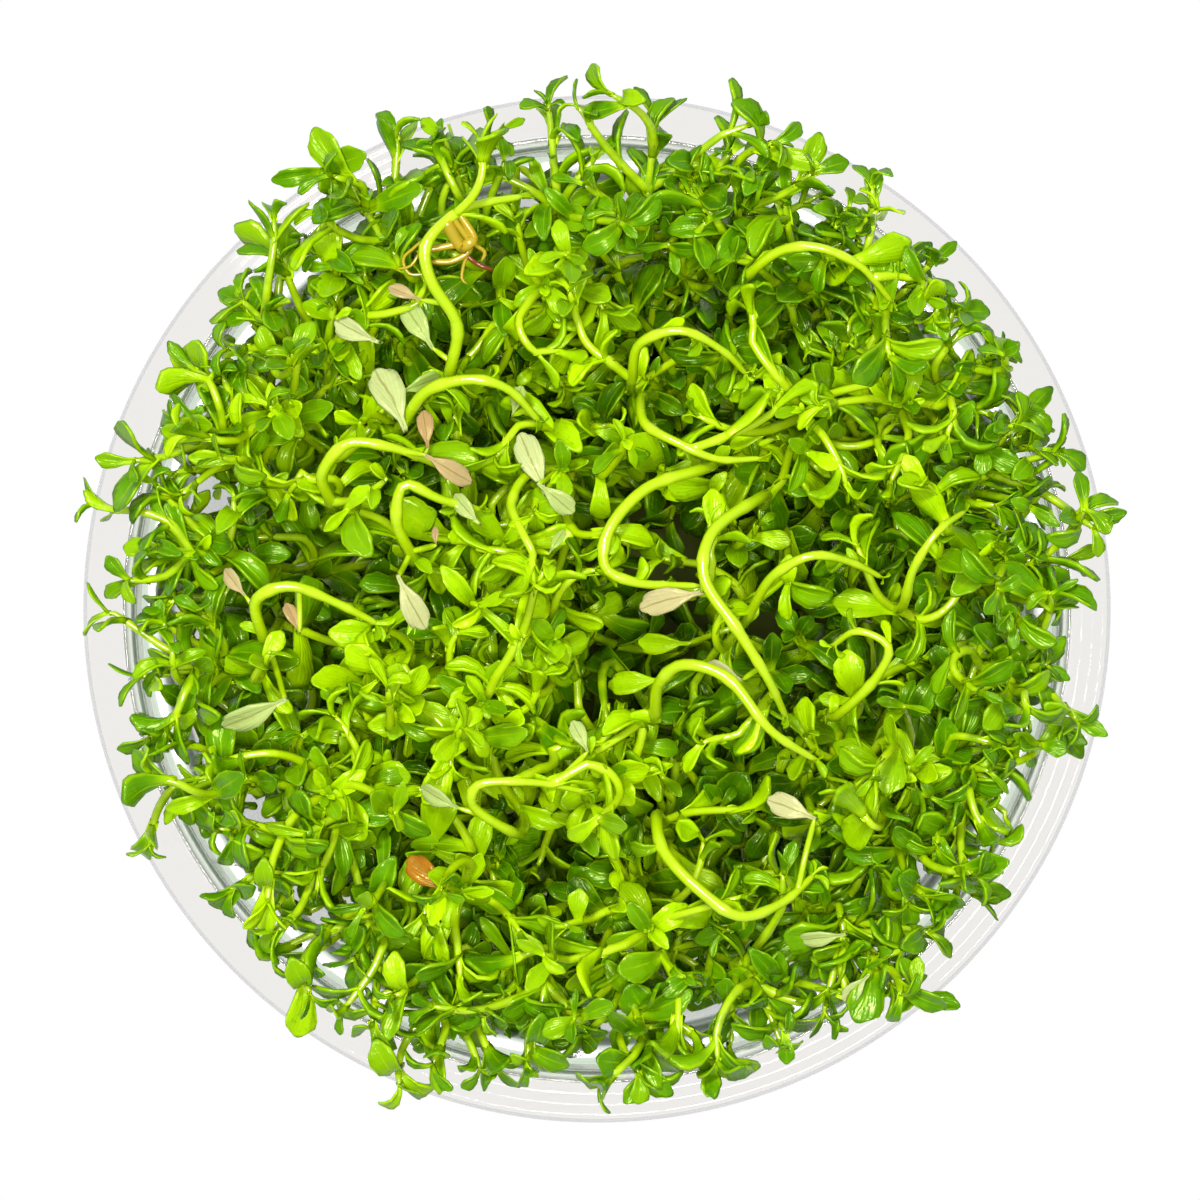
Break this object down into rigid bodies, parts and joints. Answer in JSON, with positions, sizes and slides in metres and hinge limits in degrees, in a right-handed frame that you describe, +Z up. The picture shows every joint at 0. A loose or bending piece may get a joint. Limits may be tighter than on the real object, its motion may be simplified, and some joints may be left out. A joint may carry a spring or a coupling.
{
  "type": "cup of dwarf rotala",
  "caption": "Clear round cup with a stepped rim, packed with the upright and arching shoots of dwarf rotala, an aquarium plant rooted in nutrient gel.",
  "frame": {"origin": "middle of the cup's flat underside", "axes": "+Z up along the cup's axis, +X to the right and +Y to the top of the picture, which looks straight down"},
  "size_m": [0.0994, 0.1029, 0.0823],
  "materials": {
    "clear_plastic": "thin clear moulded plastic, glossy",
    "gel": "pale translucent gel, wet and smooth",
    "shoot": "fleshy green leaves with a soft gloss and lime green stems",
    "runner": "juicy yellow-green stem with a soft gloss"
  },
  "bodies": {
    "root": {"cup": "clear_plastic", "gel": "gel", "runner_hook": "runner", "runner_west_bridge": "runner", "runner_centre_bow": "runner", "runner_long": "runner", "runner_south_arch": "runner", "runner_east_bow": "runner", "runner_crescent": "runner", "runner_pale": "runner", "runner_north_arch": "runner", "runner_small_arch": "runner", "runner_middle": "runner", "runner_west_arch": "runner", "runner_west_hook": "runner", "runner_low_west": "runner", "runner_south_west": "runner", "runner_east_hook": "runner", "rim_shoot_01": "shoot", "rim_shoot_02": "shoot", "rim_shoot_03": "shoot", "rim_shoot_04": "shoot", "rim_shoot_05": "shoot", "rim_shoot_06": "shoot", "rim_shoot_07": "shoot", "rim_shoot_08": "shoot", "rim_shoot_09": "shoot", "rim_shoot_10": "shoot", "rim_shoot_11": "shoot", "rim_shoot_12": "shoot", "rim_shoot_13": "shoot", "rim_shoot_14": "shoot", "rim_shoot_15": "shoot", "rim_shoot_16": "shoot", "rim_shoot_17": "shoot", "rim_shoot_18": "shoot", "rim_shoot_19": "shoot", "rim_shoot_20": "shoot", "rim_shoot_21": "shoot", "rim_shoot_22": "shoot", "rim_shoot_23": "shoot", "rim_shoot_24": "shoot", "rim_shoot_25": "shoot", "inner_shoot_01": "shoot", "inner_shoot_02": "shoot", "inner_shoot_03": "shoot", "inner_shoot_04": "shoot", "inner_shoot_05": "shoot", "inner_shoot_06": "shoot", "inner_shoot_07": "shoot", "inner_shoot_08": "shoot", "inner_shoot_09": "shoot", "inner_shoot_10": "shoot", "inner_shoot_11": "shoot", "inner_shoot_12": "shoot", "inner_shoot_13": "shoot", "inner_shoot_14": "shoot", "inner_shoot_15": "shoot"}
  },
  "joints": []
}
